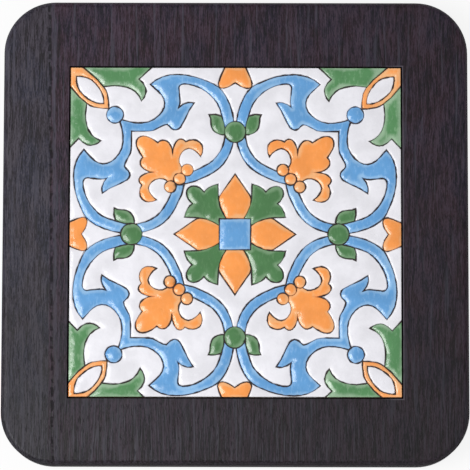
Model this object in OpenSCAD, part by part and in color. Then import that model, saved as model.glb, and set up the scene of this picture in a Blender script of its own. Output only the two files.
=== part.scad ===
// Trivet: a traditional raised-line glazed tile, let into a pocket in a dark wooden board.
// The origin is on the surface that the trivet stands on, under the middle of the board.
// X runs to the right and Y to the far side, as seen by someone at the near side.

/* [Board] */
// Side of the square board
board_side = 197; // [185:1:260]
// Thickness of the board
board_t = 18; // [14:0.5:30]
// Radius of the board's upright corners
corner_r = 22; // [8:1:35]
// Radius of the rounded arris round the top face
top_arris_r = 2.5; // [0.5:0.25:5]
// Radius of the rounded arris round the underside
base_arris_r = 1; // [0.5:0.25:3]
// Width of the narrow stave that is glued along the left side
stave_w = 20; // [9:0.5:22]

/* [Tile] */
// Side of the square tile
tile_side = 140; // [100:1:148]
// Thickness of the fired clay body
clay_t = 7; // [5:0.25:9]
// Height of the glaze crowns above the dark lines
glaze_t = 0.9; // [0.6:0.05:1.4]
// Height of the glaze crowns above the wood
tile_proud = 0.7; // [0.3:0.05:1.5]
// Gap between the tile and each wall of its pocket
pocket_gap = 0.7; // [0.3:0.05:1.5]
// Thickness of the adhesive under the tile
bond_t = 0.8; // [0.4:0.1:1.5]
// Diameter of each dab of adhesive
bond_d = 26; // [12:1:30]
// Width of the keying grooves in the back of the tile
groove_w = 5; // [3:0.5:7]
// Depth of the keying grooves
groove_deep = 0.8; // [0.4:0.1:1.5]
// Number of keying grooves
grooves = 6; // [3:1:8]

/* [Glaze] */
// Width of the dark drawn lines
line_w = 0.6; // [0.4:0.05:0.8]
// Thickness of the coat of dark slip that the lines are left in
line_t = 0.3; // [0.15:0.05:0.5]
// Height of the shoulder of each glaze pool
shoulder_h = 0.35; // [0.2:0.05:0.5]
// Width of the shoulder of each glaze pool
shoulder_w = 0.35; // [0.2:0.05:0.4]
// How far the pattern's centre lies nearer than the tile's
pattern_drop = 1.2; // [0:0.1:1.5]
// How far the pattern's centre lies left of the tile's
pattern_left = 0.2; // [0:0.1:0.5]

/* [Feet] */
// Diameter of each foot at the board
foot_d = 12; // [10:0.5:18]
// Diameter of the flat on which each foot rests
foot_rest_d = 9.5; // [6:0.5:10]
// Height of each foot
foot_h = 3; // [2:0.25:5]
// Thickness of the adhesive film on each foot
film_t = 0.3; // [0.2:0.05:0.6]
// How far the adhesive film stops short of the foot's edge
film_back = 0.3; // [0.1:0.1:1]
// Distance from the board's side to the centre of each foot
foot_inset = 22; // [16:0.5:32]

/* [Hidden] */

wood_colour = "#3f3942";
stave_colour = "#45404a";
clay_colour = "#c98d63";
adhesive_colour = "#d9d4c7";
slip_colour = "#3c3431";
white_glaze = "#ebebef";
blue_glaze = "#6ea8e6";
orange_glaze = "#fba25c";
green_glaze = "#5b9460";
rubber_colour = "#2a2a2c";

// Overrun of every cut past the face that it opens
cut_over = 1;
// How far the chords of a drawn curve may lie off it
curve_tol = 0.12;

board_z = foot_h + film_t;
top_z = board_z + board_t;
crown_z = top_z + tile_proud;
glaze_z = crown_z - glaze_t;
slip_z = glaze_z - line_t;
clay_z = slip_z - clay_t;
pocket_z = clay_z - bond_t;
pocket_side = tile_side + 2 * pocket_gap;
wall_h = glaze_t - shoulder_h;
half = tile_side / 2;
seam_x = stave_w - board_side / 2;

// Outlines of the pattern, as shares of half the tile's side from the pattern's centre.
// Each point is [across, away, round]: round is 1 where the line curves through it, 0 at a corner.
petal_shares = [
    [0, 0.367, 0], [0.09, 0.237, 0], [0.0985, 0.211, 1], [0.0905, 0.172, 1],
    [0.073, 0.13, 1], [0.052, 0.094, 0], [0.04, 0.06, 0]
];
flower_shares = [
    [0, 0.926, 0], [0.033, 0.904, 1], [0.071, 0.892, 1], [0.095, 0.899, 1],
    [0.102, 0.922, 1], [0.093, 0.953, 1], [0.055, 1.04, 0]
];
leaf_shares = [
    [0.281, 0.281, 1], [0.25, 0.293, 1], [0.215, 0.283, 1], [0.186, 0.257, 0],
    [0.156, 0.286, 1], [0.103, 0.305, 0], [0.1, 0.22, 0], [0.05, 0.09, 0], [0.05, 0.05, 0]
];
ring_outer_shares = [
    [0.306, 0.306, 0], [0.24, 0.323, 1], [0.162, 0.359, 1], [0.097, 0.402, 1],
    [0.048, 0.46, 1], [0.016, 0.54, 1], [0.004, 0.63, 1], [0.017, 0.74, 1],
    [0.055, 0.84, 1], [0.103, 0.9, 1], [0.161, 0.931, 1], [0.25, 0.963, 1],
    [0.35, 0.976, 1], [0.44, 0.962, 1], [0.515, 0.915, 0],
    [0.467, 0.872, 1], [0.433, 0.827, 1], [0.43, 0.776, 1], [0.461, 0.725, 1],
    [0.525, 0.685, 1], [0.603, 0.679, 1], [0.675, 0.695, 1], [0.71, 0.71, 0]
];
ring_inner_shares = [
    [0.35, 0.35, 0], [0.3, 0.372, 0], [0.244, 0.387, 1], [0.158, 0.432, 1],
    [0.113, 0.472, 1], [0.074, 0.54, 1], [0.06, 0.63, 1], [0.08, 0.72, 1],
    [0.109, 0.8, 1], [0.155, 0.853, 1], [0.205, 0.889, 1], [0.259, 0.911, 1],
    [0.312, 0.919, 1], [0.335, 0.91, 1], [0.342, 0.89, 1], [0.334, 0.814, 1],
    [0.341, 0.775, 0], [0.316, 0.793, 1], [0.285, 0.804, 1], [0.249, 0.801, 0],
    [0.278, 0.757, 1], [0.308, 0.693, 1], [0.33, 0.653, 1], [0.358, 0.636, 1],
    [0.386, 0.645, 1], [0.412, 0.669, 1], [0.448, 0.657, 1], [0.493, 0.633, 1],
    [0.547, 0.627, 1], [0.628, 0.628, 0]
];
fleur_shares = [
    [0.5865, 0.5865, 1], [0.555, 0.598, 1], [0.52, 0.59, 1], [0.468, 0.558, 0],
    [0.44, 0.573, 1], [0.413, 0.567, 1], [0.389, 0.539, 1], [0.378, 0.5, 0],
    [0.367, 0.545, 1], [0.346, 0.575, 1], [0.323, 0.58, 1], [0.299, 0.563, 0],
    [0.254, 0.576, 1], [0.212, 0.56, 1], [0.196, 0.523, 1], [0.208, 0.473, 0],
    [0.24, 0.506, 1], [0.279, 0.523, 1], [0.318, 0.503, 1], [0.339, 0.458, 1],
    [0.328, 0.415, 0], [0.3, 0.39, 0], [0.33, 0.33, 0]
];
bud_leaf_shares = [
    [0.04, 0.607, 0], [0.064, 0.607, 0], [0.1, 0.612, 1], [0.132, 0.632, 1], [0.146, 0.668, 1],
    [0.149, 0.708, 1], [0.158, 0.729, 0], [0.12, 0.731, 1], [0.084, 0.722, 1], [0.04, 0.7, 0]
];
mandorla_shares = [
    [0.7665, 0.7665, 0], [0.767, 0.802, 1], [0.775, 0.857, 1], [0.797, 0.898, 1],
    [0.836, 0.944, 1], [0.93, 1.025, 0], [1.05, 1.05, 0]
];
eye_shares = [
    [0.797, 0.797, 0], [0.801, 0.842, 1], [0.826, 0.892, 1], [0.872, 0.942, 1],
    [0.918, 0.96, 1], [0.963, 0.963, 0]
];
corner_leaf_shares = [
    [0.83, 0.89, 0], [0.79, 0.901, 1], [0.731, 0.907, 1], [0.662, 0.898, 1],
    [0.606, 0.87, 1], [0.568, 0.813, 0], [0.545, 0.851, 1], [0.543, 0.894, 1],
    [0.583, 0.947, 0], [0.49, 1.035, 0], [0.95, 1.035, 0]
];
pearl_places_shares = [[0.3355, 0.3355], [0.289, 0.391], [0.391, 0.289]];
pearl_r_share = 0.036;
bud_place_share = 0.6245;
bud_r_share = 0.0645;
dot_place_share = 0.728;
dot_r_share = 0.051;
square_half_share = 0.0945;
// The rings are cut at the buds along a slanting line that meets both axes this far out
ring_split_share = 0.66;
// The round middle field of the pattern ends under the buds, this far out
field_r_share = 0.62;
// The small wedge above each bud lies inside this outline
wedge_shares = [[0, 0.94], [0.098, 0.896], [0.03, 0.64], [-0.03, 0.64], [-0.098, 0.896]];

// Drawing of curved outlines

function at(points, i) = points[(i + len(points)) % len(points)];
function place(points, i) = [at(points, i)[0], at(points, i)[1]];
function is_round(points, i) = at(points, i)[2] == 1;
function unit(v) = v / norm(v);
function heading(points, i) = unit(place(points, i + 1) - place(points, i - 1));
function flipped(way, about) = 2 * (way * about) * about - way;

// One span of a curved outline: a cubic that leaves point i and arrives at the next one along
// the curve's headings there. At a corner it turns as much as it does at its other end. It has
// as many chords as keep within the tolerance, by the height of an arc over its chord.
function span(points, i) =
    let (
        a = place(points, i),
        b = place(points, i + 1),
        run = norm(b - a),
        straight = unit(b - a),
        leaves = is_round(points, i),
        arrives = is_round(points, i + 1),
        out = leaves ? heading(points, i)
            : arrives ? flipped(heading(points, i + 1), straight) : straight,
        in = arrives ? heading(points, i + 1)
            : leaves ? flipped(heading(points, i), straight) : straight,
        turn = (acos(out * straight) + acos(in * straight)) * PI / 180,
        cuts = max(1, ceil(sqrt(run * half * turn / (8 * curve_tol))))
    )
    [for (k = [0:cuts - 1])
        let (t = k / cuts)
        (2 * t ^ 3 - 3 * t ^ 2 + 1) * a + (t ^ 3 - 2 * t ^ 2 + t) * run * out
            + (3 * t ^ 2 - 2 * t ^ 3) * b + (t ^ 3 - t ^ 2) * run * in];

function drawn(points) = [for (i = [0:len(points) - 1]) each span(points, i)];

// The other half of an outline that is the same on both sides of the diagonal or of the Y axis
function both_sides_of_diagonal(shares) =
    concat(shares, [for (i = [len(shares) - 1:-1:0]) if (shares[i][0] != shares[i][1])
        [shares[i][1], shares[i][0], shares[i][2]]]);
function both_sides_of_axis(shares) =
    concat(shares, [for (i = [len(shares) - 1:-1:0]) if (shares[i][0] != 0)
        [-shares[i][0], shares[i][1], shares[i][2]]]);

module outline(points) { polygon(half * drawn(points)); }

// The pattern repeats in each quarter of the tile, and some of it on both sides of a line
module each_quarter() { for (turn = [0:3]) rotate(90 * turn) children(); }
module each_eighth() { each_quarter() { children(); mirror([1, 0]) children(); } }

// Raw cells: outlines down the middle of the drawn lines

module square_cell() { square(2 * square_half_share * half, center = true); }
module petal_cells() {
    difference() { each_quarter() outline(both_sides_of_axis(petal_shares)); square_cell(); }
}
module bud_cells() {
    each_quarter() translate([0, bud_place_share * half]) circle(bud_r_share * half, $fn = 32);
}
module pearl_cells() {
    each_quarter() for (spot = pearl_places_shares) translate(spot * half)
        circle(pearl_r_share * half, $fn = 20);
}
module dot_cells() {
    each_quarter() translate([dot_place_share, dot_place_share] * half)
        circle(dot_r_share * half, $fn = 28);
}
module leaf_cells() {
    difference() {
        each_quarter() outline(both_sides_of_diagonal(leaf_shares));
        petal_cells();
        square_cell();
    }
}
module heart_areas() { each_quarter() outline(both_sides_of_diagonal(ring_outer_shares)); }
module heart_fields() { each_quarter() outline(both_sides_of_diagonal(ring_inner_shares)); }
module split_area() {
    rotate(45) square(ring_split_share * half * sqrt(2), center = true);
}
module ring_bands() {
    difference() {
        heart_areas();
        heart_fields();
        bud_cells();
        pearl_cells();
        dot_cells();
    }
}
module arc_cells() { intersection() { ring_bands(); split_area(); } }
module scroll_cells() { difference() { ring_bands(); split_area(); } }
module fleur_cells() {
    difference() {
        each_quarter() outline(both_sides_of_diagonal(fleur_shares));
        pearl_cells();
    }
}
module bud_leaf_cells() {
    intersection() {
        difference() { each_eighth() outline(bud_leaf_shares); bud_cells(); }
        heart_fields();
    }
}
module flower_cells() {
    difference() { each_quarter() outline(both_sides_of_axis(flower_shares)); heart_areas(); }
}
module mandorla_areas() { each_quarter() outline(both_sides_of_diagonal(mandorla_shares)); }
module eye_cells() { each_quarter() outline(both_sides_of_diagonal(eye_shares)); }
module mandorla_cells() { difference() { mandorla_areas(); eye_cells(); dot_cells(); } }
module corner_leaf_cells() {
    difference() { each_eighth() outline(corner_leaf_shares); mandorla_areas(); }
}
module field_area() { circle(field_r_share * half, $fn = 72); }
module wedge_areas() { each_quarter() polygon(half * wedge_shares); }
module centre_cell() {
    difference() {
        field_area();
        heart_areas();
        petal_cells();
        square_cell();
        leaf_cells();
        bud_cells();
        pearl_cells();
    }
}
module heart_cells() {
    difference() {
        heart_fields();
        fleur_cells();
        pearl_cells();
        bud_cells();
        bud_leaf_cells();
    }
}
module rim_cells() {
    difference() {
        square(2 * tile_side, center = true);
        field_area();
        heart_areas();
        bud_cells();
        flower_cells();
        dot_cells();
        mandorla_areas();
        corner_leaf_cells();
    }
}
module wedge_cells() { intersection() { rim_cells(); wedge_areas(); } }
module side_cells() { difference() { rim_cells(); wedge_areas(); } }

// The part of a cell that its glaze fills: clear of the lines, and inside the tile's edge
module glazed(inset) {
    intersection() {
        offset(delta = -line_w / 2 - inset) at_pattern() children();
        square(tile_side - 2 * inset, center = true);
    }
}
module at_pattern() { translate([-pattern_left, -pattern_drop]) children(); }

// Glaze pools: each has an upright foot where the line holds it, and a crown drawn in from it
module pools(tint) {
    color(tint) translate([0, 0, glaze_z]) {
        linear_extrude(wall_h) glazed(0) children();
        linear_extrude(glaze_t) glazed(shoulder_w) children();
    }
}

// Round pools are turned, with true curved shoulders
module round_pool(r, tint) {
    color(tint) translate([0, 0, glaze_z]) rotate_extrude($fn = 48) {
        square([r, wall_h]);
        square([r - shoulder_h, glaze_t]);
        translate([r - shoulder_h, wall_h]) circle(shoulder_h, $fn = 32);
    }
}

// Glaze of each cell

module centre_square() { pools(blue_glaze) square_cell(); }
module star_petals() { pools(orange_glaze) petal_cells(); }
module trefoil_leaves() { pools(green_glaze) leaf_cells(); }
module centre_ground() { pools(white_glaze) centre_cell(); }
module ring_arcs() { pools(blue_glaze) arc_cells(); }
module ring_scrolls() { pools(blue_glaze) scroll_cells(); }
module corner_dots() {
    at_pattern() each_quarter() translate([dot_place_share, dot_place_share] * half)
        round_pool(dot_r_share * half - line_w / 2, blue_glaze);
}
module fleurs() { pools(orange_glaze) fleur_cells(); }
module pearls() {
    at_pattern() each_quarter() for (spot = pearl_places_shares) translate(spot * half)
        round_pool(pearl_r_share * half - line_w / 2, orange_glaze);
}
module heart_grounds() { pools(white_glaze) heart_cells(); }
module buds() {
    at_pattern() each_quarter() translate([0, bud_place_share * half])
        round_pool(bud_r_share * half - line_w / 2, green_glaze);
}
module bud_leaves() { pools(green_glaze) bud_leaf_cells(); }
module edge_flowers() { pools(orange_glaze) flower_cells(); }
module edge_wedges() { pools(white_glaze) wedge_cells(); }
module side_grounds() { pools(white_glaze) side_cells(); }
module corner_leaves() { pools(green_glaze) corner_leaf_cells(); }
module corner_mandorlas() { pools(orange_glaze) mandorla_cells(); }
module mandorla_eyes() { pools(white_glaze) eye_cells(); }

// A thin coat of dark slip on the clay, which shows between the pools as the drawn lines
module outline_slip() {
    color(slip_colour) translate([0, 0, slip_z + line_t / 2])
        cube([tile_side, tile_side, line_t], center = true);
}

// The fired clay body, with grooves in its back that key it to the adhesive
module tile_clay() {
    pitch = tile_side / grooves;
    color(clay_colour) difference() {
        translate([-half, -half, clay_z]) cube([tile_side, tile_side, clay_t]);
        for (i = [0:grooves - 1])
            translate([-half - cut_over, (i + 0.5) * pitch - half - groove_w / 2, clay_z - cut_over])
                cube([tile_side + 2 * cut_over, groove_w, groove_deep + cut_over]);
    }
}

// Dabs of adhesive, one in the middle and one in each quarter
module tile_adhesive() {
    color(adhesive_colour) translate([0, 0, pocket_z]) {
        cylinder(bond_t, d = bond_d, $fn = 48);
        each_quarter() translate([half / 2, half / 2]) cylinder(bond_t, d = bond_d, $fn = 48);
    }
}

// The board's edge in section, from the middle of the board out to its side
module edge_section(reach) {
    square([reach - top_arris_r, board_t]);
    square([reach - base_arris_r, board_t - top_arris_r]);
    translate([0, base_arris_r]) square([reach, board_t - base_arris_r - top_arris_r]);
    translate([reach - top_arris_r, board_t - top_arris_r]) circle(top_arris_r, $fn = 48);
    translate([reach - base_arris_r, base_arris_r]) circle(base_arris_r, $fn = 32);
}

// The whole board before the pocket is cut: two crossed slabs and four turned corners
module board_blank() {
    corner_at = board_side / 2 - corner_r;
    translate([0, 0, board_z]) {
        for (turn = [0, 90]) rotate([90, 0, turn])
            linear_extrude(2 * corner_at, center = true) {
                edge_section(board_side / 2);
                mirror([1, 0]) edge_section(board_side / 2);
            }
        each_quarter() translate([corner_at, corner_at])
            rotate_extrude(angle = 90, $fn = 96) edge_section(corner_r);
    }
}
module pocket() {
    translate([-pocket_side / 2, -pocket_side / 2, pocket_z])
        cube([pocket_side, pocket_side, top_z - pocket_z + cut_over]);
}

// The staves meet in a flat glued joint, left of the pocket
module wide_stave() {
    color(wood_colour) difference() {
        intersection() {
            board_blank();
            translate([seam_x, -board_side / 2, board_z]) cube([board_side, board_side, board_t]);
        }
        pocket();
    }
}
module narrow_stave() {
    color(stave_colour) difference() {
        intersection() {
            board_blank();
            translate([seam_x - board_side, -board_side / 2, board_z])
                cube([board_side, board_side, board_t]);
        }
        pocket();
    }
}

// Feet, as [side, depth] signs of the corner that each one stands under
module under_corner(corner) { translate(corner * (board_side / 2 - foot_inset)) children(); }
module foot(corner) {
    color(rubber_colour) under_corner(corner) cylinder(foot_h, d1 = foot_rest_d, d2 = foot_d, $fn = 64);
}
module near_left_foot() { foot([-1, -1]); }
module near_right_foot() { foot([1, -1]); }
module far_left_foot() { foot([-1, 1]); }
module far_right_foot() { foot([1, 1]); }
module foot_films() {
    color(adhesive_colour) each_quarter() under_corner([1, 1])
        translate([0, 0, foot_h]) cylinder(film_t, d = foot_d - 2 * film_back, $fn = 64);
}

wide_stave();
narrow_stave();
tile_adhesive();
tile_clay();
outline_slip();
centre_square();
star_petals();
trefoil_leaves();
centre_ground();
ring_arcs();
ring_scrolls();
corner_dots();
fleurs();
pearls();
heart_grounds();
buds();
bud_leaves();
edge_flowers();
edge_wedges();
side_grounds();
corner_leaves();
corner_mandorlas();
mandorla_eyes();
near_left_foot();
near_right_foot();
far_left_foot();
far_right_foot();
foot_films();
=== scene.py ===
"""Dresses a tile trivet: raised glaze pools on a tile, in a dark oiled board on rubber feet."""

import logging
import math
from dataclasses import dataclass, field
from enum import Enum
from typing import NamedTuple

import bmesh
import bpy
from bmesh.types import BMEdge, BMesh, BMFace, BMVert
from bpy.types import ID, Material, Mesh, Node, NodeSocket, NodeTree, Object
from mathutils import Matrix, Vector, noise
from mathutils.bvhtree import BVHTree


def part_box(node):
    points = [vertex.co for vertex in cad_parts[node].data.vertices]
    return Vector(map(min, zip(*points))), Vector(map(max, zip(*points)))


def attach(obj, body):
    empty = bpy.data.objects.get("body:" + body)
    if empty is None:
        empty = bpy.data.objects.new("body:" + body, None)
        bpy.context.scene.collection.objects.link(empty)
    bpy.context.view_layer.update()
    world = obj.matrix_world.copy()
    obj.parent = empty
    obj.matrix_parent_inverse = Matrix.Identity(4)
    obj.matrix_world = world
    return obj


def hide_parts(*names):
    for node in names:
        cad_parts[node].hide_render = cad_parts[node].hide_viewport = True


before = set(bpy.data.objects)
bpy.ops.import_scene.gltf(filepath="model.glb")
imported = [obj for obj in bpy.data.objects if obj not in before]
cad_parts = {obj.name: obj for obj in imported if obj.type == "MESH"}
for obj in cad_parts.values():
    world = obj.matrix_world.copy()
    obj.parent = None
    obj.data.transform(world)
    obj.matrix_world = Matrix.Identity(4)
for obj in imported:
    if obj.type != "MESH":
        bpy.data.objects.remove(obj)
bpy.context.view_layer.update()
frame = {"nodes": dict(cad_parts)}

LOG = logging.getLogger("trivet")
MM = 0.001
UP = Vector((0, 0, 1))
POCKET_GAP = 0.7 * MM
POCKET_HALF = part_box("tile_clay")[1].x + POCKET_GAP
SEAM_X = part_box("narrow_stave")[1].x
RIM_LAYER = "rim_mm"
MIX_SHARE, MIX_FIRST, MIX_SECOND, MIX_RESULT = 0, 6, 7, 2
Colour = tuple[float, float, float]


class Cells(NamedTuple):
    """Sizes of a noise.

    Attributes:
        along: Cells in a metre along each axis.
        octaves: Octaves of detail.
        keep: Share that each octave keeps.
    """

    along: tuple[float, float, float]
    octaves: float = 3.0
    keep: float = 0.55


class Span(NamedTuple):
    """A range of a value, and what its two ends turn into.

    Attributes:
        start: Start of the range.
        end: End of the range.
        at_start: Result at the start.
        at_end: Result at the end.
    """

    start: float
    end: float
    at_start: float = 0.0
    at_end: float = 1.0


class Layer(NamedTuple):
    """A layer of a pattern.

    Attributes:
        cells: Sizes of its noise.
        span: How strongly it shows at which noise.
    """

    cells: Cells
    span: Span


def even(cells: float) -> tuple[float, float, float]:
    """Gives the same number of cells along every axis."""
    return (cells, cells, cells)


def srgb(red: float, green: float, blue: float) -> Colour:
    """Turns a colour written on the screen's scale into linear light, by the sRGB curve.

    Args:
        red: Red from 0 to 255.
        green: Green from 0 to 255.
        blue: Blue from 0 to 255.

    Returns:
        The colour in linear light, from 0 to 1.
    """
    shares = [channel / 255 for channel in (red, green, blue)]
    return tuple(s / 12.92 if s <= 0.04045 else ((s + 0.055) / 1.055) ** 2.4 for s in shares)


class Stave(Enum):
    """The two staves of the board, by node name."""

    WIDE = "wide_stave"
    NARROW = "narrow_stave"


@dataclass(frozen=True)
class Finish:
    """What a surface is finished with.

    Attributes:
        name: Name of the material and of its slot in the record.
    """

    name: str

    @property
    def slot(self) -> str:
        """Material slot of the record."""
        return self.name


@dataclass(frozen=True)
class GlazeFinish(Finish):
    """A glossy glaze that is deep in the middle of its pool and thin at the drawn line.

    Attributes:
        deep: Colour of the full pool.
        thin: Colour near the line, where the glaze is thin.
        streak: Colour of the paler brush marks in it.
        edge: Tint of the stain that the glaze takes up from the slip at its very edge.
        rim_mm: Width of the thin edge.
        streak_share: Strength of the brush marks.
        speckle: Strength of the fine speckle.
        lip_rise_mm: Height that the lip at the line gains before the face domes up.
        ior: Index of refraction.
        relief_mm: Depth of the rippled face.
    """

    deep: Colour
    thin: Colour
    streak: Colour
    edge: Colour
    rim_mm: float
    streak_share: float = 0.5
    speckle: float = 0.25
    lip_rise_mm: float = 0.18
    ior: float = 1.52
    relief_mm: float = 0.2


@dataclass(frozen=True)
class WoodFinish(Finish):
    """Dark stained wood with an oiled, satin surface.

    Attributes:
        dark: Colour of the pores and the darkest grain.
        body: Main colour.
        pale: Colour of the palest grain.
        cool: Colour of the blotches where the stain shows blue.
        grain_mm: Width of the broad grain bands.
        pore_share: How strongly the open pores show.
        specular: Specular level.
        relief_mm: Depth of the grain.
    """

    dark: Colour
    body: Colour
    pale: Colour
    cool: Colour
    grain_mm: float
    pore_share: float
    specular: float = 0.28
    relief_mm: float = 0.08


@dataclass(frozen=True)
class PlainFinish(Finish):
    """A matt finish with a fine mottle.

    Attributes:
        body: Main colour.
        mottle: Second colour of the mottle.
        roughness: Roughness of the surface.
        grain_mm: Size of the mottle.
        relief: Depth of the bump, as a share of the grain.
    """

    body: Colour
    mottle: Colour
    roughness: float
    grain_mm: float
    relief: float


WHITE = GlazeFinish("white_glaze", srgb(233, 232, 238), srgb(240, 239, 244), srgb(221, 220, 229),
                    srgb(150, 146, 150), rim_mm=0.8, streak_share=0.35, speckle=0.2,
                    lip_rise_mm=0.4)
BLUE = GlazeFinish("blue_glaze", srgb(98, 158, 213), srgb(148, 192, 232), srgb(152, 196, 236),
                   srgb(110, 120, 170), rim_mm=1.0, streak_share=0.7)
ORANGE = GlazeFinish("orange_glaze", srgb(248, 155, 77), srgb(246, 182, 124),
                     srgb(255, 180, 118), srgb(190, 130, 90), rim_mm=1.0)
APRICOT = GlazeFinish("apricot_glaze", srgb(250, 160, 84), srgb(244, 184, 128),
                      srgb(250, 200, 152), srgb(190, 130, 90), rim_mm=0.9)
GREEN = GlazeFinish("green_glaze", srgb(74, 122, 74), srgb(122, 158, 120), srgb(112, 154, 110),
                    srgb(120, 140, 110), rim_mm=1.0, streak_share=0.6)
LEAF = GlazeFinish("leaf_glaze", srgb(84, 138, 88), srgb(150, 182, 150), srgb(146, 184, 146),
                   srgb(120, 140, 110), rim_mm=1.2, streak_share=0.7)
WIDE_WOOD = WoodFinish("wide_stave_wood", srgb(5, 1, 7), srgb(40, 12, 27), srgb(60, 46, 60),
                       srgb(17, 11, 35), grain_mm=1.5, pore_share=0.5)
NARROW_WOOD = WoodFinish("narrow_stave_wood", srgb(10, 8, 13), srgb(40, 31, 42),
                         srgb(62, 58, 67), srgb(24, 25, 46), grain_mm=1.1, pore_share=0.4)
# Paler colour of the painted highlight on the pocket's right arris.
ARRIS_HIGHLIGHT = srgb(92, 86, 96)
RAY: Colour = (0.058, 0.055, 0.078)
THREAD: Colour = (0.072, 0.069, 0.09)
ADHESIVE = PlainFinish("adhesive", srgb(214, 208, 194), srgb(196, 189, 174), roughness=0.55,
                       grain_mm=3.0, relief=0.04)
CLAY = PlainFinish("fired_clay", srgb(150, 112, 86), srgb(120, 88, 70), roughness=0.9,
                   grain_mm=0.8, relief=0.1)
SLIP = PlainFinish("dark_slip", srgb(36, 28, 27), srgb(58, 46, 43), roughness=0.8,
                   grain_mm=0.9, relief=0.06)
RUBBER = PlainFinish("foot_rubber", srgb(40, 40, 42), srgb(50, 50, 52), roughness=0.8,
                     grain_mm=0.5, relief=0.05)


@dataclass(frozen=True)
class GlazePattern:
    """Scales and strengths of the pooled glaze's pattern.

    Attributes:
        drift: Noise that makes the thin rim wander.
        slow: Broader noise that does the same.
        sways: How far the two move the rim, in rim widths.
        sway_start: Sway where both noises are 0.
        deepens: How the rim turns into the full pool, in rim widths.
        brush: The brush marks.
        fades: Their strength from the middle of a pool to its rim, in rim widths.
        bite_from: Start of the stain at the very edge, in millimetres.
        bite_least: Least reach of the stain.
        bite_reach: What the drift adds to its reach.
        bite_share: Strength of the stain.
        cloud: The broad shading.
        grit: The speckle at full strength.
        gloss: The roughness.
        ripple: Noise of the rippled face.
        peel: Noise of the fine dimples on it.
        peel_share: Height of the dimples beside the ripple.
    """

    drift: Cells = Cells(even(190))
    slow: Cells = Cells(even(85), 2)
    sways: tuple[float, float] = (2.4, 5.0)
    sway_start: float = -3.7
    deepens: Span = Span(-0.2, 1.6)
    brush: Layer = Layer(Cells((900, 330, 600), 4, 0.6), Span(0.5, 0.72))
    fades: Span = Span(2.6, 0.3, 0.45, 1.0)
    bite_from: float = 0.04
    bite_least: float = 0.02
    bite_reach: float = 0.5
    bite_share: float = 0.5
    cloud: Layer = Layer(Cells(even(95)), Span(0.3, 0.7, 0.925, 1.05))
    grit: Layer = Layer(Cells(even(2600), 2), Span(0.25, 0.75, -0.06, 0.06))
    gloss: Layer = Layer(Cells(even(420)), Span(0.3, 0.7, 0.13, 0.24))
    ripple: Cells = Cells(even(210), 2, 0.5)
    peel: Cells = Cells(even(900), 1, 0.5)
    peel_share: float = 0.12


@dataclass(frozen=True)
class GrainPattern:
    """Scales and strengths of the wood's straight grain, which runs along Y. Lengths in metres.

    Attributes:
        wander: Noise by which the grain leaves the straight.
        bend: How far it does.
        broad: Noise of the broad bands, in bands.
        patch: Noise of the blotches in the tone.
        fibre: Noise of the fibres.
        fleck: Noise of the short flecks.
        fine: Noise of the fine grain.
        tone_shares: Shares of these five in the tone.
        contrast: Contrast of the tone from the front edge backwards.
        lit: Tones that turn pale.
        deep: Tones that turn dark.
        cool: The blue blotches.
        ray: The pale rays.
        thread: Noise of the threads near the front edge.
        thread_pale: Threads that turn pale.
        thread_dark: Threads that turn dark.
        thread_depth: Strength of the threads from the front edge backwards.
        thread_side: Their strength from the middle to the right.
        pore: The open pores.
        side: How far a face has to stand up to count as a side.
        side_shut: How far the sides are darkened.
        across: Darkening from the left to the right, partly the wood's own tone and partly painted
            light, brighter on the left where the lamp stands.
        along: Painted shade that darkens the front of the board, where the lamp lights it more
            than the back.
        arris_highlight_band: Painted highlight on the pocket's arris, from the pocket outwards.
        arris_highlight_side: Where across the board the painted highlight starts, so that it shows
            on the right only.
        gloss_band: Roughness of the top.
        side_gloss: Roughness of the sides.
        cut_gloss: What pores and dashes add to it.
        heights: Heights of the fibres, the fine grain, and the pores and dashes.
    """

    wander: Cells = Cells((22, 12, 22), 2)
    bend: float = 0.004
    broad: Cells = Cells((1.0, 0.06, 1.0), 3, 0.6)
    patch: Cells = Cells((120, 60, 120), 4, 0.6)
    fibre: Cells = Cells((3600, 260, 3600), 3, 0.65)
    fleck: Cells = Cells((2500, 900, 2500), 2, 0.6)
    fine: Cells = Cells((2100, 110, 2100), 3, 0.6)
    tone_shares: tuple[float, ...] = (0.18, 0.1, 0.32, 0.15, 0.25)
    contrast: Span = Span(-0.1, -0.05, 3.4, 1.4)
    lit: Span = Span(0.45, 0.6)
    deep: Span = Span(0.51, 0.42, 0.0, 0.85)
    cool: Layer = Layer(Cells((110, 55, 110), 4, 0.6), Span(0.36, 0.64))
    ray: Layer = Layer(Cells((560, 21, 560), 2, 0.5), Span(0.57, 0.68, 0.0, 0.5))
    thread: Cells = Cells((2100, 62, 2100), 2, 0.5)
    thread_pale: Span = Span(0.53, 0.66)
    thread_dark: Span = Span(0.47, 0.36)
    thread_depth: Span = Span(-0.09, -0.055, 0.75, 0.0)
    thread_side: Span = Span(0.0, 0.075, 1.0, 0.45)
    pore: Layer = Layer(Cells((1700, 210, 1700), 1), Span(0.62, 0.7))
    side: Span = Span(0.08, 0.6)
    side_shut: float = 0.15
    # across and along are painted light and shade: darker to the right as the lamplight falls off,
    # and darker at the front against the lamp's stronger light there; the left-to-right part is
    # also partly the wood's own tone.
    across: Span = Span(-0.1, 0.1, 1.1, 0.78)
    along: Span = Span(-0.1, 0.04, 0.57, 1.0)
    # Painted highlight: a thin paler band just outside the pocket, on its right side only.
    arris_highlight_band: Span = Span(0.0001, 0.0006, 0.75, 0.0)
    arris_highlight_side: Span = Span(0.06, 0.07)
    gloss_band: Span = Span(0.3, 0.7, 0.42, 0.54)
    side_gloss: float = 0.95
    cut_gloss: float = 0.3
    heights: tuple[float, float, float] = (0.5, 0.5, -1.2)


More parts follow.
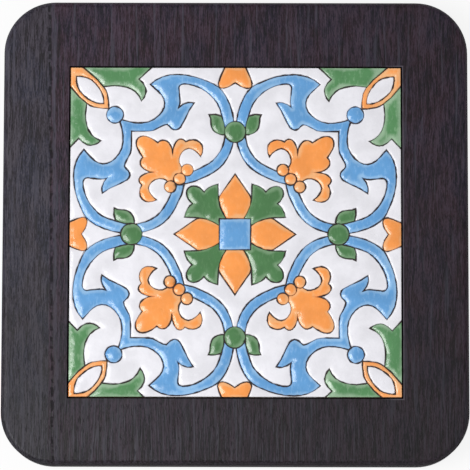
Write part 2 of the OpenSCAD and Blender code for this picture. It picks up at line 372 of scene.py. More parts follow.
@dataclass(frozen=True)
class JointPattern:
    """The dashed glue line between the staves. Lengths in metres.

    Attributes:
        sway: Noise by which the line leaves the straight.
        sway_width: Full width of that sway.
        lean: How far the line leans to the right, for each metre towards the front.
        shift: How far right of the joint it lies at the middle of the board.
        thick: Noise of the line's thickness.
        thickness: Its greatest half thickness.
        edge: How the line's edge softens, in half thicknesses.
        dash: The dashes that the line is broken into.
        pale_at: How far right of the line the pale streak beside it lies.
        pale_band: How the streak fades away from its middle.
    """

    sway: Cells = Cells((1, 130, 1), 2)
    sway_width: float = 0.0022
    lean: float = 0.015
    shift: float = 0.00072
    thick: Cells = Cells((900, 260, 900), 2)
    thickness: float = 0.0013
    edge: Span = Span(1.1, 0.5)
    dash: Layer = Layer(Cells((40, 290, 40), 2), Span(0.44, 0.54, 0.0, 0.8))
    pale_at: float = 0.0015
    pale_band: Span = Span(0.0003, 0.0011, 0.45, 0.0)


MOTTLE = Layer(Cells(even(1), 4, 0.6), Span(0.35, 0.68))


class Nodes:
    """A short way to write a node tree."""

    def __init__(self, tree: NodeTree) -> None:
        """Keeps the tree.

        Args:
            tree: The node tree that the nodes go into.
        """
        self.tree = tree

    def add(self, kind: str, **settings: object) -> Node:
        """Adds a node.

        Args:
            kind: Blender's name of the node's class.
            settings: Attributes to set on it.

        Returns:
            The node.
        """
        node = self.tree.nodes.new(kind)
        for name, value in settings.items():
            setattr(node, name, value)
        return node

    def link(self, source: NodeSocket, target: NodeSocket) -> None:
        """Joins an output to an input.

        Args:
            source: The output.
            target: The input.
        """
        self.tree.links.new(source, target)

    def feed(self, socket: NodeSocket, value: object) -> None:
        """Sets an input to a number or colour, or joins an output to it.

        Args:
            socket: The input.
            value: A socket, a number, or a colour or vector.
        """
        if isinstance(value, NodeSocket):
            self.link(value, socket)
        elif socket.type == "RGBA":
            socket.default_value = (*value, 1) if len(value) == 3 else value
        else:
            socket.default_value = value

    def math(self, operation: str, *values: object) -> NodeSocket:
        """Adds a Math node.

        Args:
            operation: What it does.
            values: Its inputs, as numbers or sockets.

        Returns:
            Its output.
        """
        node = self.add("ShaderNodeMath", operation=operation)
        for socket, value in zip(node.inputs, values):
            self.feed(socket, value)
        return node.outputs[0]

    def mix(self, share: object, first: object, second: object, blend: str = "MIX") -> NodeSocket:
        """Mixes two colours.

        Args:
            share: Share of the second colour.
            first: First colour.
            second: Second colour.
            blend: Way of mixing.

        Returns:
            The mixed colour.
        """
        node = self.add("ShaderNodeMix", data_type="RGBA", blend_type=blend)
        self.feed(node.inputs[MIX_SHARE], share)
        self.feed(node.inputs[MIX_FIRST], first)
        self.feed(node.inputs[MIX_SECOND], second)
        return node.outputs[MIX_RESULT]

    def grey(self, value: NodeSocket) -> NodeSocket:
        """Turns a value into a grey.

        Args:
            value: The value.

        Returns:
            The colour.
        """
        node = self.add("ShaderNodeCombineColor")
        for socket in node.inputs[:3]:
            self.link(value, socket)
        return node.outputs[0]

    def ramp(self, value: NodeSocket, span: tuple) -> NodeSocket:
        """Maps a value from one range to another, smoothly and with its ends held.

        Args:
            value: The value.
            span: The range and what its ends turn into, as in a Span.

        Returns:
            The mapped value.
        """
        node = self.add("ShaderNodeMapRange", interpolation_type="SMOOTHSTEP")
        for socket, part in zip(node.inputs[:5], (value, *span)):
            self.feed(socket, part)
        return node.outputs[0]

    def noise(self, where: NodeSocket, cells: Cells) -> NodeSocket:
        """Adds noise with its own stretch along each axis.

        Args:
            where: Position.
            cells: Sizes of the noise.

        Returns:
            The noise, from 0 to 1.
        """
        turned = self.add("ShaderNodeMapping")
        self.link(where, turned.inputs["Vector"])
        turned.inputs["Scale"].default_value = cells.along
        node = self.add("ShaderNodeTexNoise", noise_dimensions="3D")
        self.link(turned.outputs[0], node.inputs["Vector"])
        node.inputs["Scale"].default_value = 1.0
        node.inputs["Detail"].default_value = cells.octaves
        node.inputs["Roughness"].default_value = cells.keep
        return node.outputs["Fac"]

    def scaled(self, where: NodeSocket, scale: NodeSocket) -> NodeSocket:
        """Scales a position.

        Args:
            where: Position.
            scale: What it is multiplied by.

        Returns:
            The scaled position.
        """
        node = self.add("ShaderNodeVectorMath", operation="SCALE")
        self.link(where, node.inputs[0])
        self.link(scale, node.inputs["Scale"])
        return node.outputs[0]

    def layer(self, where: NodeSocket, layer: Layer) -> NodeSocket:
        """Adds a layer of a pattern.

        Args:
            where: Position.
            layer: The layer.

        Returns:
            How strongly it shows.
        """
        return self.ramp(self.noise(where, layer.cells), layer.span)

    def summed(self, values: tuple, shares: tuple[float, ...], start: float = 0.0) -> NodeSocket:
        """Adds values up, each with its own share.

        Args:
            values: The values.
            shares: Their shares.
            start: What they are added to.

        Returns:
            The sum.
        """
        total: object = start
        for value, share in zip(values, shares):
            total = self.math("MULTIPLY_ADD", value, share, total)
        return total


class EffectGroups:
    """Shader node groups that several finishes share, each built once."""

    def __init__(self) -> None:
        """Builds the groups."""
        self.glaze = self._glaze()
        self.grain = self._grain()
        self.mottle = self._mottle()

    @staticmethod
    def _new(name: str, values: tuple[str, ...], colours: tuple[str, ...],
             gives: tuple[str, ...]) -> tuple[NodeTree, Nodes, object, object]:
        """Starts a group that takes a position, values and colours, and gives a colour and values.

        Args:
            name: Name of the group.
            values: Names of the inputs that are values.
            colours: Names of the inputs that are colours.
            gives: Names of the outputs besides the colour.

        Returns:
            The group, its node writer, its inputs and its outputs.
        """
        group = bpy.data.node_groups.new(name, "ShaderNodeTree")
        sockets = [("Position", "INPUT", "NodeSocketVector")]
        sockets += [(title, "INPUT", "NodeSocketFloat") for title in values]
        sockets += [(title, "INPUT", "NodeSocketColor") for title in colours]
        sockets += [("Color", "OUTPUT", "NodeSocketColor")]
        sockets += [(title, "OUTPUT", "NodeSocketFloat") for title in gives]
        for title, way, kind in sockets:
            group.interface.new_socket(name=title, in_out=way, socket_type=kind)
        n = Nodes(group)
        return group, n, n.add("NodeGroupInput").outputs, n.add("NodeGroupOutput").inputs

    def _glaze(self) -> NodeTree:
        """Builds the pooled glaze: thin at its rim, streaked and speckled, with a rippled face.

        Returns:
            The group.
        """
        look = GlazePattern()
        group, n, take, give = self._new(
            "PooledGlaze", ("Rim", "Rim Width", "Streaks", "Speckle"),
            ("Deep", "Thin", "Streak", "Edge"), ("Roughness", "Height"))
        where = take["Position"]
        drift = n.noise(where, look.drift)
        sway = n.summed((drift, n.noise(where, look.slow)), look.sways, look.sway_start)
        reach = n.math("ADD", n.math("DIVIDE", take["Rim"], take["Rim Width"]), sway)
        body = n.mix(n.ramp(reach, look.deepens), take["Thin"], take["Deep"])

        brush = n.math("MULTIPLY", n.layer(where, look.brush), take["Streaks"])
        brush = n.math("MULTIPLY", brush, n.ramp(reach, look.fades))
        body = n.mix(brush, body, take["Streak"])

        bite_end = n.math("MULTIPLY_ADD", drift, look.bite_reach, look.bite_least)
        bite = n.ramp(take["Rim"], (look.bite_from, bite_end, look.bite_share, 0.0))
        body = n.mix(bite, body, n.mix(1.0, body, take["Edge"], "MULTIPLY"))

        grit = n.math("MULTIPLY", n.layer(where, look.grit), take["Speckle"])
        shade = n.grey(n.math("ADD", n.layer(where, look.cloud), grit))
        n.link(n.mix(1.0, body, shade, "MULTIPLY"), give["Color"])
        n.link(n.layer(where, look.gloss), give["Roughness"])
        n.link(n.math("MULTIPLY_ADD", n.noise(where, look.peel), look.peel_share,
                      n.noise(where, look.ripple)), give["Height"])
        return group

    @staticmethod
    def _joint(n: Nodes, where: NodeSocket, x: NodeSocket, y: NodeSocket,
               seam: NodeSocket) -> tuple[NodeSocket, NodeSocket]:
        """Writes the dashed glue line and the pale streak beside it.

        Args:
            n: The node writer.
            where: Position.
            x: Its X.
            y: Its Y.
            seam: X of the joint.

        Returns:
            Masks of the dashes and of the streak.
        """
        look = JointPattern()
        sway = n.math("MULTIPLY_ADD", n.noise(where, look.sway), look.sway_width,
                      -look.sway_width / 2)
        lean = n.math("MULTIPLY_ADD", y, look.lean, -look.shift)
        past = n.math("SUBTRACT", n.math("ADD", x, n.math("ADD", sway, lean)), seam)
        thick = n.math("MULTIPLY", n.noise(where, look.thick), look.thickness)
        line = n.ramp(n.math("DIVIDE", n.math("ABSOLUTE", past), thick), look.edge)
        off_streak = n.math("ABSOLUTE", n.math("SUBTRACT", past, look.pale_at))
        return (n.math("MULTIPLY", line, n.layer(where, look.dash)),
                n.ramp(off_streak, look.pale_band))

    def _grain(self) -> NodeTree:
        """Builds straight wood grain that runs along Y, with open pores and a dashed glue line.

        Returns:
            The group.
        """
        look = GrainPattern()
        group, n, take, give = self._new(
            "StraightGrain", ("Bands", "Pores", "Seam", "Side", "Pocket"),
            ("Dark", "Body", "Pale", "Cool", "Arris Highlight"), ("Roughness", "Height"))
        where = take["Position"]
        parts = n.add("ShaderNodeSeparateXYZ")
        n.link(where, parts.inputs[0])
        x, y, z = parts.outputs
        bent_at = n.add("ShaderNodeCombineXYZ")
        bent_x = n.math("MULTIPLY_ADD", n.noise(where, look.wander), look.bend, x)
        for part, socket in zip((bent_x, y, z), bent_at.inputs):
            n.link(part, socket)
        bent = bent_at.outputs[0]

        broad = n.noise(n.scaled(bent, take["Bands"]), look.broad)
        fibre, fleck, fine, thread = (n.noise(bent, cells) for cells in (
            look.fibre, look.fleck, look.fine, look.thread))
        tone = n.summed((broad, n.noise(where, look.patch), fibre, fleck, fine), look.tone_shares)
        tone = n.math("MULTIPLY_ADD", n.math("SUBTRACT", tone, 0.5), n.ramp(y, look.contrast), 0.5)
        near = n.math("MULTIPLY", n.ramp(y, look.thread_depth), n.ramp(x, look.thread_side))
        dash, streak = self._joint(n, where, x, y, take["Seam"])
        body = take["Body"]
        for share, colour in (
                (n.layer(where, look.cool), take["Cool"]),
                (n.ramp(tone, look.lit), take["Pale"]),
                (n.ramp(tone, look.deep), take["Dark"]),
                (n.layer(bent, look.ray), RAY),
                (n.math("MULTIPLY", n.ramp(thread, look.thread_pale), near), THREAD),
                (n.math("MULTIPLY", n.ramp(thread, look.thread_dark), near), take["Dark"]),
                (streak, RAY)):
            body = n.mix(share, body, colour)

        # Painted light and shade, with some of the wood's own tone: darker towards the right as
        # the lamplight falls off, and darker at the front against the lamp's stronger light there.
        stain_and_shade = n.math("MULTIPLY", n.ramp(x, look.across), n.ramp(y, look.along))
        body = n.mix(1.0, body, n.grey(stain_and_shade), "MULTIPLY")
        # Painted highlight: a thin paler band just outside the pocket, on the right only, stands
        # in for light caught by the pocket's arris.
        reach = n.math("MAXIMUM", n.math("ABSOLUTE", x), n.math("ABSOLUTE", y))
        arris = n.ramp(n.math("SUBTRACT", reach, take["Pocket"]), look.arris_highlight_band)
        body = n.mix(n.math("MULTIPLY", arris, n.ramp(x, look.arris_highlight_side)), body, take["Arris Highlight"])

        cut = n.math("MAXIMUM", n.math("MULTIPLY", n.layer(bent, look.pore), take["Pores"]), dash)
        side = n.ramp(take["Side"], look.side)
        shut = n.math("MAXIMUM", cut, n.math("MULTIPLY", side, look.side_shut))
        n.link(n.mix(shut, body, take["Dark"]), give["Color"])
        gloss = n.math("MAXIMUM", n.ramp(fine, look.gloss_band),
                       n.math("MULTIPLY", side, look.side_gloss))
        n.link(n.math("MULTIPLY_ADD", cut, look.cut_gloss, gloss), give["Roughness"])
        n.link(n.summed((fibre, fine, cut), look.heights), give["Height"])
        return group

    def _mottle(self) -> NodeTree:
        """Builds a fine two-colour mottle.

        Returns:
            The group.
        """
        group, n, take, give = self._new("FineMottle", ("Grain",), ("Body", "Mottle"), ("Height",))
        grain = n.noise(n.scaled(take["Position"], take["Grain"]), MOTTLE.cells)
        n.link(n.mix(n.ramp(grain, MOTTLE.span), take["Body"], take["Mottle"]), give["Color"])
        n.link(grain, give["Height"])
        return group


class MaterialShop:
    """Makes each finish's material once."""

    def __init__(self) -> None:
        """Builds the shared groups."""
        self.groups = EffectGroups()
        self.made: dict[str, Material] = {}

    def _start(self, name: str, tree: NodeTree, relief_mm: float,
               values: dict[str, object]) -> tuple[Nodes, Node, Node]:
        """Makes a material with a Principled shader and one of the shared groups.

        Args:
            name: Name of the material.
            tree: The shared group.
            relief_mm: Depth of its relief.
            values: The group's inputs.

        Returns:
            The material's node writer, its shader and the group node.
        """
        material = bpy.data.materials.new(name)
        material.use_nodes = True
        material.node_tree.nodes.clear()
        n = Nodes(material.node_tree)
        shader = n.add("ShaderNodeBsdfPrincipled")
        n.link(shader.outputs[0], n.add("ShaderNodeOutputMaterial").inputs["Surface"])
        group = n.add("ShaderNodeGroup")
        group.node_tree = tree
        n.link(n.add("ShaderNodeTexCoord").outputs["Object"], group.inputs["Position"])
        for title, value in values.items():
            n.feed(group.inputs[title], value)
        n.link(group.outputs["Color"], shader.inputs["Base Color"])
        if "Roughness" in group.outputs:
            n.link(group.outputs["Roughness"], shader.inputs["Roughness"])
        bump = n.add("ShaderNodeBump")
        bump.inputs["Strength"].default_value = 1.0
        bump.inputs["Distance"].default_value = relief_mm * MM
        n.link(group.outputs["Height"], bump.inputs["Height"])
        n.link(bump.outputs[0], shader.inputs["Normal"])
        self.made[name] = material
        return n, shader, group

    def material(self, finish: Finish) -> Material:
        """Gives a finish's material, which is made the first time.

        Args:
            finish: The finish.

        Returns:
            The material.
        """
        if finish.name not in self.made:
            make = {GlazeFinish: self._glaze, WoodFinish: self._wood, PlainFinish: self._plain}
            make[type(finish)](finish)
        return self.made[finish.name]

    def _glaze(self, finish: GlazeFinish) -> None:
        """Makes a glaze.

        Args:
            finish: The glaze's finish.
        """
        n, shader, group = self._start(finish.name, self.groups.glaze, finish.relief_mm, {
            "Rim Width": finish.rim_mm, "Deep": finish.deep, "Thin": finish.thin,
            "Streak": finish.streak, "Edge": finish.edge, "Streaks": finish.streak_share,
            "Speckle": finish.speckle})
        rim = n.add("ShaderNodeAttribute", attribute_name=RIM_LAYER)
        n.link(rim.outputs["Fac"], group.inputs["Rim"])
        shader.inputs["IOR"].default_value = finish.ior

    def _wood(self, finish: WoodFinish) -> None:
        """Makes a stave's wood.

        Args:
            finish: The wood's finish.
        """
        n, shader, group = self._start(finish.name, self.groups.grain, finish.relief_mm, {
            "Bands": 1 / (finish.grain_mm * MM), "Pores": finish.pore_share, "Seam": SEAM_X,
            "Dark": finish.dark, "Body": finish.body, "Pale": finish.pale, "Cool": finish.cool,
            "Pocket": POCKET_HALF, "Arris Highlight": ARRIS_HIGHLIGHT})
        facing = n.add("ShaderNodeSeparateXYZ")
        n.link(n.add("ShaderNodeNewGeometry").outputs["Normal"], facing.inputs[0])
        upright = n.math("ABSOLUTE", facing.outputs["Z"])
        n.link(n.math("SUBTRACT", 1.0, upright), group.inputs["Side"])
        shader.inputs["Specular IOR Level"].default_value = finish.specular

    def _plain(self, finish: PlainFinish) -> None:
        """Makes a matt finish.

        Args:
            finish: The finish.
        """
        relief_mm = finish.relief * finish.grain_mm
        shader = self._start(finish.name, self.groups.mottle, relief_mm, {
            "Grain": 1 / (finish.grain_mm * MM), "Body": finish.body,
            "Mottle": finish.mottle})[1]
        shader.inputs["Roughness"].default_value = finish.roughness

    def dress(self, node: Object, finish: Finish) -> None:
        """Gives a CAD node its finish.

        Args:
            node: The CAD node, which keeps its shape and place.
            finish: The finish.
        """
        node.data.materials.clear()
        node.data.materials.append(self.material(finish))
        LOG.info("%s: dressed", node.name)


def place(name: str, data: ID) -> Object:
    """Puts a new object into the scene.

    Args:
        name: Name of the object.
        data: Its mesh, lamp or camera.

    Returns:
        The object.
    """
    thing = bpy.data.objects.new(name, data)
    bpy.context.scene.collection.objects.link(thing)
    return thing


@dataclass
class GlazedTile:
    """The tile's glaze pools, body, slip and adhesive.

    Attributes:
        shop: Where the materials come from.
        wall_mm: Height of a pool's foot at the drawn line.
        crown_mm: Height of the pool's rounded face at its middle.
        lip_mm: Width of the rounded lip at the line.
        dome_mm: Distance from the line over which the face keeps rising.
        dome_power: How soon the rise flattens out.
        steps: Cuts across the rim strip, which carry the lip and the dome's start.
        net_mm: Spacing of the net that carries the dome.
        net_slack: How much wider than the net a face may be.
        rim_cut_mm: Longest edge of a rim that creeps as it is.
        rim_cuts: How often longer ones are halved.
        creep_mm: Step by which the rim creeps over the drawn line.
        creep_mean: Mean creep, in steps.
        creep_swing: What the fine noise adds to it.
        creep_grain_mm: Length over which the fine noise changes.
        surge: What the broad noise adds.
        surge_from: Where that sets in.
        surge_grain_mm: Length over which the broad noise changes.
        surge_place: Where the broad noise starts.
        creep_range: Least and greatest creep, in steps.
        cusp: Least sum of two neighbours' outward directions that still gives a direction.
        edge_mm: Distance from the middle past which a rim is the tile's own edge.
        upright: Upward part of the normal below which a face is a wall or an underside.
        flat_turn: Angle in radians below which two faces are one.
        weld_mm: Distance at which two points of one edge are one.
        face_weld_mm: Distance at which two points of a flat face are one.
        sliver_mm: Height below which a triangle is dissolved.
        finishes: The glaze of each node of pools.
    """

    shop: MaterialShop
    wall_mm: float = 0.22
    crown_mm: float = 0.9
    lip_mm: float = 0.35
    dome_mm: float = 3.4
    dome_power: float = 2.4
    steps: int = 2
    net_mm: float = 1.15
    net_slack: float = 1.5
    rim_cut_mm: float = 0.8
    rim_cuts: int = 2
    creep_mm: float = 0.19
    creep_mean: float = 0.45
    creep_swing: float = 1.4
    creep_grain_mm: float = 1.9
    surge: float = 3.2
    surge_from: float = 0.12
    surge_grain_mm: float = 9.0
    surge_place: tuple[float, float, float] = (3, 7, 1)
    creep_range: tuple[float, float] = (-0.6, 1.38)
    cusp: float = 0.3
    edge_mm: float = 69.9
    upright: float = 0.02
    flat_turn: float = 0.02
    weld_mm: float = 0.001
    face_weld_mm: float = 0.005
    sliver_mm: float = 0.004
    finishes: dict[str, GlazeFinish] = field(default_factory=lambda: {
        "centre_square": BLUE, "star_petals": ORANGE, "trefoil_leaves": GREEN,
        "centre_ground": WHITE, "ring_arcs": BLUE, "ring_scrolls": BLUE, "corner_dots": BLUE,
        "fleurs": ORANGE, "pearls": ORANGE, "heart_grounds": WHITE, "buds": GREEN,
        "bud_leaves": GREEN, "edge_flowers": ORANGE, "edge_wedges": WHITE, "side_grounds": WHITE,
        "corner_leaves": LEAF, "corner_mandorlas": APRICOT, "mandorla_eyes": WHITE})

    def height(self, rim_mm: float, lip_rise_mm: float) -> float:
        """Height of a pool's face over its foot.

        Args:
            rim_mm: Distance from the drawn line.
            lip_rise_mm: Height that the lip at the line gains.

        Returns:
            The height in millimetres.
        """
        lip = max(0.0, 1 - rim_mm / self.lip_mm)
        dome = max(0.0, 1 - rim_mm / self.dome_mm)
        lip_part = lip_rise_mm * math.sqrt(1 - lip * lip)
        dome_part = (self.crown_mm - self.wall_mm - lip_rise_mm) * (1 - dome ** self.dome_power)
        return self.wall_mm + lip_part + dome_part

    @staticmethod
    def _rim(mesh: BMesh) -> list[BMEdge]:
        """Finds the edges that only one face has."""
        return [e for e in mesh.edges if len(e.link_faces) == 1]

    def _face(self, node: Object) -> BMesh:
        """Lays a merged copy of a node's upper faces flat: its shoulders become a rim strip.

        Args:
            node: The CAD node.

        Returns:
            A flat mesh of the pools, facing up.
        """
        face = bmesh.new()
        face.from_mesh(node.data)
        bmesh.ops.remove_doubles(face, verts=face.verts, dist=self.weld_mm * MM)
        face.normal_update()
        low = min(v.co.z for v in face.verts)
        hidden = [f for f in face.faces if f.normal.z < self.upright]
        bmesh.ops.delete(face, geom=hidden, context="FACES")
        bmesh.ops.scale(face, vec=(1, 1, 0), verts=face.verts)
        bmesh.ops.translate(face, vec=(0, 0, low), verts=face.verts)
        bmesh.ops.remove_doubles(face, verts=face.verts, dist=self.face_weld_mm * MM)
        return face

    def _outward(self, face: BMesh) -> dict[BMVert, Vector]:
        """Adds up, for each point of the rim, the outward directions of its rim's edges.

        Args:
            face: The flat mesh of the pools.

        Returns:
            The sum for each point.
        """
        ways: dict[BMVert, Vector] = {}
        for edge in self._rim(face):
            first, second = edge.verts
            out = (second.co - first.co).cross(UP).normalized()
            if out.dot(edge.link_faces[0].calc_center_median() - first.co) > 0:
                out.negate()
            for v in edge.verts:
                ways[v] = ways.get(v, Vector()) + out
        return ways

    def _creep(self, face: BMesh) -> None:
        """Lets the glaze creep unevenly over the drawn line, as it does in the kiln.

        Args:
            face: The flat mesh of the pools.
        """
        for _ in range(self.rim_cuts):
            long_rims = [e for e in self._rim(face) if e.calc_length() > self.rim_cut_mm * MM]
            bmesh.ops.subdivide_edges(face, edges=long_rims, cuts=1)
        for v, way in self._outward(face).items():
            at_edge = max(abs(v.co.x), abs(v.co.y)) > self.edge_mm * MM
            if at_edge or way.length <= self.cusp:
                continue
            broad = noise.noise(v.co / (self.surge_grain_mm * MM) + Vector(self.surge_place))
            lively = self.creep_mean + self.surge * max(0.0, broad - self.surge_from)
            lively += self.creep_swing * noise.noise(v.co / (self.creep_grain_mm * MM))
            least, most = self.creep_range
            v.co += way.normalized() * self.creep_mm * MM * max(least, min(most, lively))

    def _outline(self, face: BMesh) -> BVHTree:
        """Stands the pools' outline up as thin walls, to measure distances from.

        Args:
            face: The flat mesh of the pools.

        Returns:
            A search tree of the walls.
        """
        walls = face.copy()
        flat = list(walls.faces)
        grown = bmesh.ops.extrude_edge_only(walls, edges=self._rim(walls))["geom"]
        raised = [g for g in grown if isinstance(g, BMVert)]
        bmesh.ops.translate(walls, verts=raised, vec=2 * MM * UP)
        bmesh.ops.delete(walls, geom=flat, context="FACES_ONLY")
        bmesh.ops.translate(walls, verts=walls.verts, vec=-MM * UP)
        tree = BVHTree.FromBMesh(walls)
        walls.free()
        return tree

    @staticmethod
    def _underside(face: BMesh) -> Mesh:
        """Turns a copy of the flat pools over, to close them below.

        Args:
            face: The flat mesh of the pools.

        Returns:
            A mesh that faces down.
        """
        under = face.copy()
        bmesh.ops.triangulate(under, faces=[f for f in under.faces if len(f.verts) > 3],
                              quad_method="BEAUTY", ngon_method="BEAUTY")
        bmesh.ops.reverse_faces(under, faces=under.faces)
        data = bpy.data.meshes.new("underside")
        under.to_mesh(data)
        under.free()
        return data

    def _refine(self, mesh: BMesh) -> None:
        """Cuts the flat pools finely enough to carry the lip and the dome.

        Args:
            mesh: The flat mesh of the pools.
        """
        border = {v for e in self._rim(mesh) for v in e.verts}

        def inner() -> list[BMFace]:
            """Finds the faces that don't touch the rim."""
            return [f for f in mesh.faces if not any(v in border for v in f.verts)]

        cap = set(inner())
        seams = [e for e in mesh.edges
                 if len(e.link_faces) == 2 and all(f in cap for f in e.link_faces)]
        bmesh.ops.dissolve_limit(mesh, angle_limit=self.flat_turn, use_dissolve_boundaries=False,
                                 verts=[], edges=seams, delimit=set())
        net = inner()
        for axis in (0, 1):
            net = self._net(mesh, net, axis)
        across = [e for e in mesh.edges if (e.verts[0] in border) != (e.verts[1] in border)]
        bmesh.ops.subdivide_edges(mesh, edges=across, cuts=self.steps, use_grid_fill=True)
        bmesh.ops.triangulate(mesh, faces=[f for f in mesh.faces if len(f.verts) > 3])

    def _close(self, mesh: BMesh, low: float, underside: Mesh) -> None:
        """Joins the pools to their underside and clears what is too thin to keep.

        Args:
            mesh: The raised mesh of the pools, with its walls.
            low: Height of the underside.
            underside: The underside, which is used up.
        """
        mesh.from_mesh(underside)
        bpy.data.meshes.remove(underside)
        mesh.verts.ensure_lookup_table()
        weld = self.weld_mm * MM
        foot = [v for v in mesh.verts if v.co.z < low + weld]
        bmesh.ops.remove_doubles(mesh, verts=foot, dist=weld)
        bmesh.ops.dissolve_degenerate(mesh, dist=self.sliver_mm * MM, edges=mesh.edges)
        bmesh.ops.triangulate(mesh, faces=[f for f in mesh.faces if len(f.verts) > 4])

    def pool(self, node: Object, lip_rise_mm: float) -> Object:
        """Builds the rounded pools that stand for a CAD node.

        Args:
            node: The CAD node.
            lip_rise_mm: Height that the lip at the line gains.

        Returns:
            The piece.
        """
        mesh = self._face(node)
        low = min(v.co.z for v in mesh.verts)
        self._creep(mesh)
        outline = self._outline(mesh)
        underside = self._underside(mesh)
        self._refine(mesh)

        layer = mesh.verts.layers.float.new(RIM_LAYER)
        for v in mesh.verts:
            rim = (outline.find_nearest(v.co)[3] or 0.0) / MM
            v[layer] = rim
            v.co.z = low + self.height(rim, lip_rise_mm) * MM
        for part in bmesh.ops.extrude_edge_only(mesh, edges=self._rim(mesh))["geom"]:
            if isinstance(part, BMVert):
                part.co.z = low
                part[layer] = 0.0
        self._close(mesh, low, underside)
        for f in mesh.faces:
            f.smooth = True
        mesh.normal_update()
        data = bpy.data.meshes.new(f"{node.name}_glaze")
        mesh.to_mesh(data)
        mesh.free()
        return place(f"{node.name}_glaze", data)

    def _net(self, mesh: BMesh, faces: list[BMFace], axis: int) -> list[BMFace]:
        """Halves flat faces again and again across one axis, until none is wider than the net.

        Args:
            mesh: The pools' mesh.
            faces: The faces to cut.
            axis: 0 for X, 1 for Y.

        Returns:
            All the faces that they become.
        """
        if not faces:
            return []
        spans = [[v.co[axis] for v in f.verts] for f in faces]
        low = min(min(s) for s in spans)
        high = max(max(s) for s in spans)
        if high - low < self.net_slack * self.net_mm * MM:
            return faces
        at = (low + high) / 2
        hair = self.weld_mm * MM / 10
        split = [min(s) < at - hair and max(s) > at + hair for s in spans]
        wide = [f for f, is_split in zip(faces, split) if is_split]
        kept = [f for f, is_split in zip(faces, split) if not is_split]
        if wide:
            across = Vector((1 - axis, axis, 0))
            verts = list({v for f in wide for v in f.verts})
            edges = list({e for f in wide for e in f.edges})
            cut = bmesh.ops.bisect_plane(mesh, geom=verts + edges + wide, dist=hair,
                                         plane_co=at * across, plane_no=across)
            kept += [g for g in cut["geom"] if isinstance(g, BMFace)]
        near = [f for f in kept if f.calc_center_median()[axis] < at]
        far = [f for f in kept if f.calc_center_median()[axis] >= at]
        return self._net(mesh, near, axis) + self._net(mesh, far, axis)

    def dress(self, nodes: dict[str, Object]) -> None:
        """Builds and dresses the tile's pieces.

        Args:
            nodes: The CAD nodes by name.
        """
        for name, finish in self.finishes.items():
            piece = self.pool(nodes[name], finish.lip_rise_mm)
            piece.data.materials.append(self.shop.material(finish))
            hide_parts(name)
            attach(piece, "root")
            LOG.info("%s: %d faces", piece.name, len(piece.data.polygons))
        self.shop.dress(nodes["outline_slip"], SLIP)
        self.shop.dress(nodes["tile_clay"], CLAY)
        self.shop.dress(nodes["tile_adhesive"], ADHESIVE)


@dataclass
class Board:
    """The two staves.

    Attributes:
        shop: Where the materials come from.
    """

    shop: MaterialShop

    def dress(self, nodes: dict[str, Object]) -> None:
        """Dresses the staves.

        Args:
            nodes: The CAD nodes by name.
        """
        for stave, finish in ((Stave.WIDE, WIDE_WOOD), (Stave.NARROW, NARROW_WOOD)):
            self.shop.dress(nodes[stave.value], finish)


@dataclass
class Feet:
    """The four rubber feet and their adhesive films.

    Attributes:
        shop: Where the materials come from.
        corners: Where the feet stand, as in their node names.
    """

    shop: MaterialShop
    corners: tuple[str, ...] = ("near_left", "near_right", "far_left", "far_right")

    def dress(self, nodes: dict[str, Object]) -> None:
        """Dresses the feet and films.

        Args:
            nodes: The CAD nodes by name.
        """
        for corner in self.corners:
            self.shop.dress(nodes[f"{corner}_foot"], RUBBER)
        self.shop.dress(nodes["foot_films"], ADHESIVE)


@dataclass(frozen=True)
class Lamp:
    """A soft rectangular light.

    Attributes:
        name: Name of the lamp.
        place: Where it stands.
        size: Its width and height.
        watts: Its power.
    """

    name: str
    place: tuple[float, float, float]
    size: tuple[float, float]
    watts: float


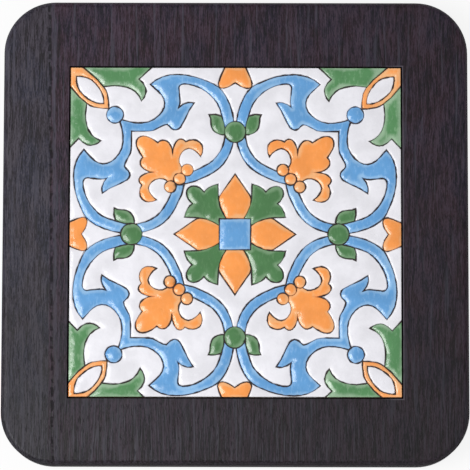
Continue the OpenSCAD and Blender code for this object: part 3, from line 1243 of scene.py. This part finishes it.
@dataclass
class Studio:
    """Floor, lights, world and camera. Lengths in metres.

    Attributes:
        distance: From the camera to the middle of the board.
        tilt: Degrees off the upright, towards the near side.
        turn: Degrees by which the camera is turned about its view.
        lens_mm: Focal length.
        sensor_mm: Width of the sensor.
        aim: The point that the camera looks at.
        lamps: The large light on the left and the small one on the right.
        lit_point: The point that the lamps are turned to.
        sky: Strength of the world's light.
        floor_half: Half of the floor's side.
        floor_grey: Colour of the floor in the light.
        floor_white: Share of plain white in what the camera and reflections see of it.
    """

    distance: float = 1.4
    tilt: float = 7.0
    turn: float = 0.12
    lens_mm: float = 254.0
    sensor_mm: float = 36.0
    aim: tuple[float, float, float] = (-0.0002, -0.0015, 0.0213)
    lamps: tuple[Lamp, ...] = (Lamp("left_window", (-0.5, -0.17, 0.96), (0.45, 0.6), 7.9),
                               Lamp("right_fill", (0.62, -0.62, 0.85), (0.25, 0.25), 0.6))
    lit_point: tuple[float, float, float] = (0, 0, 0.02)
    sky: float = 0.46
    floor_half: float = 3.0
    floor_grey: float = 0.9
    floor_white: float = 0.86

    def build(self) -> None:
        """Builds the whole studio."""
        self._floor()
        self._world()
        for lamp in self.lamps:
            self._light(lamp)
        self._camera()

    @staticmethod
    def _aim(thing: Object, target: Vector, roll: float = 0.0) -> None:
        """Turns a lamp or camera towards a point.

        Args:
            thing: The lamp or camera.
            target: The point.
            roll: Degrees about the line of sight.
        """
        way = target - thing.location
        thing.rotation_euler = way.to_track_quat("-Z", "Y").to_euler()
        thing.rotation_euler.rotate_axis("Z", math.radians(roll))

    @staticmethod
    def _blend(n: Nodes, share: NodeSocket, shaders: tuple[Node, Node], output: Node) -> None:
        """Mixes two shaders into the output.

        Args:
            n: The node writer.
            share: Share of the second shader.
            shaders: The two shaders.
            output: The output node.
        """
        blend = n.add("ShaderNodeMixShader")
        for source, target in zip((share, *(s.outputs[0] for s in shaders)), blend.inputs):
            n.link(source, target)
        n.link(blend.outputs[0], output.inputs["Surface"])

    def _floor(self) -> None:
        """Builds the white floor, which the camera sees as white and which keeps the shadow."""
        mesh = bmesh.new()
        bmesh.ops.create_grid(mesh, x_segments=1, y_segments=1, size=self.floor_half)
        data = bpy.data.meshes.new("floor")
        mesh.to_mesh(data)
        mesh.free()
        material = bpy.data.materials.new("white_floor")
        material.use_nodes = True
        material.node_tree.nodes.clear()
        n = Nodes(material.node_tree)
        matt = n.add("ShaderNodeBsdfDiffuse")
        matt.inputs["Color"].default_value = (*even(self.floor_grey), 1)
        glow = n.add("ShaderNodeEmission")
        glow.inputs["Strength"].default_value = 1.0
        path = n.add("ShaderNodeLightPath")
        mirrored = n.math("MAXIMUM", path.outputs["Is Glossy Ray"],
                          path.outputs["Is Transmission Ray"])
        seen = n.math("MAXIMUM", path.outputs["Is Camera Ray"], mirrored)
        self._blend(n, n.math("MULTIPLY", seen, self.floor_white), (matt, glow),
                    n.add("ShaderNodeOutputMaterial"))
        data.materials.append(material)
        floor = place("floor", data)

    def _world(self) -> None:
        """Builds the pale world."""
        world = bpy.data.worlds.new("pale_room")
        bpy.context.scene.world = world
        world.use_nodes = True
        world.node_tree.nodes.clear()
        n = Nodes(world.node_tree)
        sky = n.add("ShaderNodeBackground")
        sky.inputs["Color"].default_value = (1, 1, 1, 1)
        sky.inputs["Strength"].default_value = self.sky
        white = n.add("ShaderNodeBackground")
        white.inputs["Color"].default_value = (1, 1, 1, 1)
        path = n.add("ShaderNodeLightPath")
        self._blend(n, path.outputs["Is Camera Ray"], (sky, white), n.add("ShaderNodeOutputWorld"))

    def _light(self, lamp: Lamp) -> None:
        """Adds a soft light.

        Args:
            lamp: The lamp.
        """
        data = bpy.data.lights.new(lamp.name, "AREA")
        data.shape = "RECTANGLE"
        data.size, data.size_y = lamp.size
        data.energy = lamp.watts
        thing = place(lamp.name, data)
        thing.location = lamp.place
        self._aim(thing, Vector(self.lit_point))

    def _camera(self) -> None:
        """Adds the camera at the photograph's viewing angle."""
        lens = bpy.data.cameras.new("camera")
        lens.lens = self.lens_mm
        lens.sensor_width = self.sensor_mm
        camera = place("camera", lens)
        lean = math.radians(self.tilt)
        target = Vector(self.aim)
        camera.location = target + self.distance * Vector((0, -math.sin(lean), math.cos(lean)))
        self._aim(camera, target, self.turn)
        bpy.context.scene.camera = camera


def main() -> None:
    """Builds the studio and dresses the trivet."""
    logging.basicConfig(level=logging.INFO, format="%(name)s: %(message)s")
    bpy.context.scene.view_settings.view_transform = "Standard"
    nodes = frame["nodes"]
    shop = MaterialShop()
    Studio().build()
    Board(shop).dress(nodes)
    GlazedTile(shop).dress(nodes)
    Feet(shop).dress(nodes)


if __name__ == "__main__":
    main()
